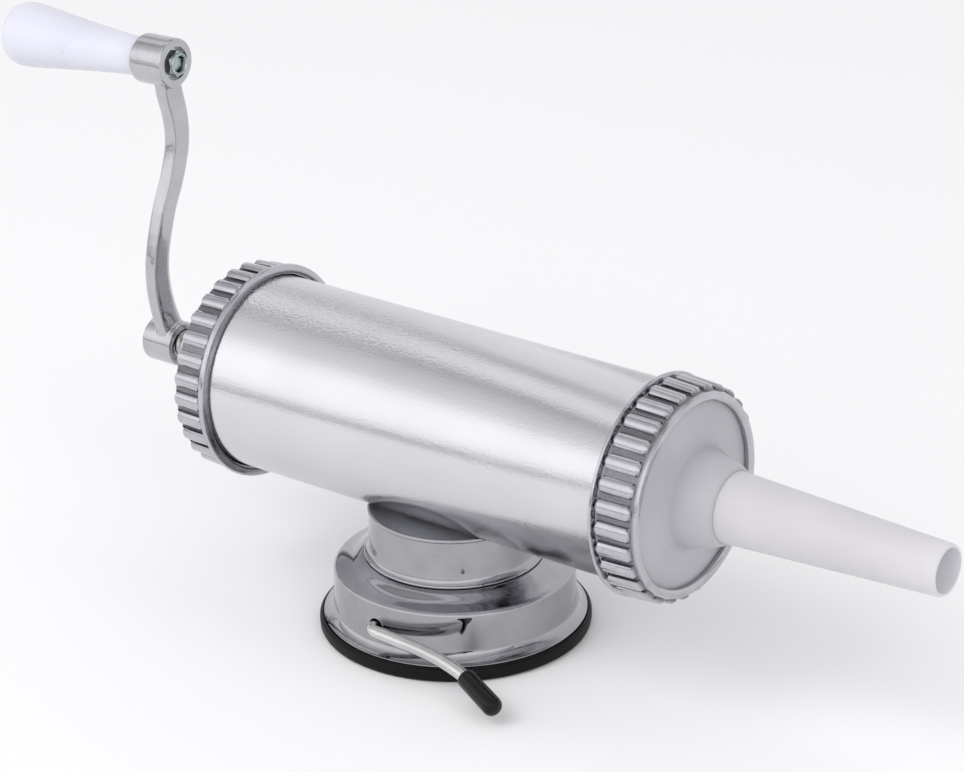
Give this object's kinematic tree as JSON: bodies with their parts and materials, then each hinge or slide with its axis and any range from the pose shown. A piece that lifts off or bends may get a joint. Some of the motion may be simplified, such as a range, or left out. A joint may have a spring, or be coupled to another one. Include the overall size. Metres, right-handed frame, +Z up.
{
  "type": "sausage stuffer",
  "caption": "Hand-cranked sausage stuffer: horizontal aluminium barrel with a screw-driven piston, fluted screw caps and a tapered nozzle, on a chromed suction base with a lever.",
  "frame": {"origin": "centre of the suction pad's flat underside, on the table", "axes": "+X along the barrel towards the nozzle, +Z up"},
  "size_m": [0.4352, 0.1152, 0.2091],
  "materials": {
    "aluminium": "satin drawn tube",
    "cast": "polished casting",
    "chrome": "mirror plate",
    "steel": "bright",
    "zinc": "zinc plated",
    "white": "glossy",
    "milky": "translucent",
    "rubber": "matt",
    "seal": "silicone"
  },
  "bodies": {
    "root": {"barrel": "aluminium", "neck_cup": "chrome", "base_cup": "chrome", "suction_pad": "rubber", "stud_rear": "steel", "stud_front": "steel", "stud_washer_rear": "zinc", "stud_washer_front": "zinc", "stud_nut_rear": "zinc", "stud_nut_front": "zinc"},
    "rear_seat": {"rear_gasket": "seal"},
    "rear_cap": {"rear_cap": "cast", "screw_bush": "steel"},
    "piston": {"piston_plate": "white", "piston_seal": "seal"},
    "crank": {"lead_screw": "steel", "thrust_washer_rear": "zinc", "thrust_washer_front": "zinc", "piston_nut": "zinc", "crank_arm": "cast", "crank_grub_screw": "zinc", "handle_bolt": "zinc", "handle_washer": "zinc", "handle_nut": "zinc"},
    "grip": {"handle_grip": "white"},
    "nozzle": {"front_gasket": "seal", "front_disc": "white", "nozzle_tube": "milky"},
    "front_ring": {"front_ring": "cast"},
    "lever": {"lever_rod": "steel", "lever_tip": "rubber", "lever_clip": "zinc"},
    "pad_stud": {"pad_stud": "steel"}
  },
  "joints": [
    {"name": "rear_cap_draw", "type": "slide", "parent": "root", "child": "rear_seat", "axis": [1, 0, 0], "range_m": [-0.01501, 0]},
    {"name": "rear_cap_turn", "type": "hinge", "parent": "rear_seat", "child": "rear_cap", "pos_m": [0, 0, 0.0828], "axis": [1, 0, 0], "range_deg": [-1800, 0]},
    {"name": "piston_slide", "type": "slide", "parent": "rear_seat", "child": "piston", "axis": [1, 0, 0], "range_m": [-0.1841, 0]},
    {"name": "crank_turn", "type": "hinge", "parent": "piston", "child": "crank", "pos_m": [0, 0, 0.0828], "axis": [1, 0, 0], "range_deg": [-16560, 0]},
    {"name": "grip_spin", "type": "hinge", "parent": "crank", "child": "grip", "pos_m": [-0.135, 0.00485, 0.1986], "axis": [0.9995, 0.0013, 0.0314], "continuous": true},
    {"name": "nozzle_draw", "type": "slide", "parent": "root", "child": "nozzle", "axis": [1, 0, 0], "range_m": [0, 0.01801]},
    {"name": "front_ring_turn", "type": "hinge", "parent": "nozzle", "child": "front_ring", "pos_m": [0, 0, 0.0828], "axis": [1, 0, 0], "range_deg": [0, 2160]},
    {"name": "lever_turn", "type": "hinge", "parent": "root", "child": "lever", "pos_m": [0, 0, 0.016], "axis": [-0.0436, -0.999, 0], "range_deg": [0, 160]},
    {"name": "stud_lift", "type": "slide", "parent": "root", "child": "pad_stud", "axis": [0, 0, 1], "range_m": [0, 0.00267]}
  ],
  "couplings": [
    {"joint": "rear_cap_draw", "follows": "rear_cap_turn", "m_per_rad": 0.00047746},
    {"joint": "piston_slide", "follows": "crank_turn", "m_per_rad": 0.00063662},
    {"joint": "nozzle_draw", "follows": "front_ring_turn", "m_per_rad": 0.00047746},
    {"joint": "stud_lift", "follows": "lever_turn", "m_per_rad": 0.00095493}
  ]
}
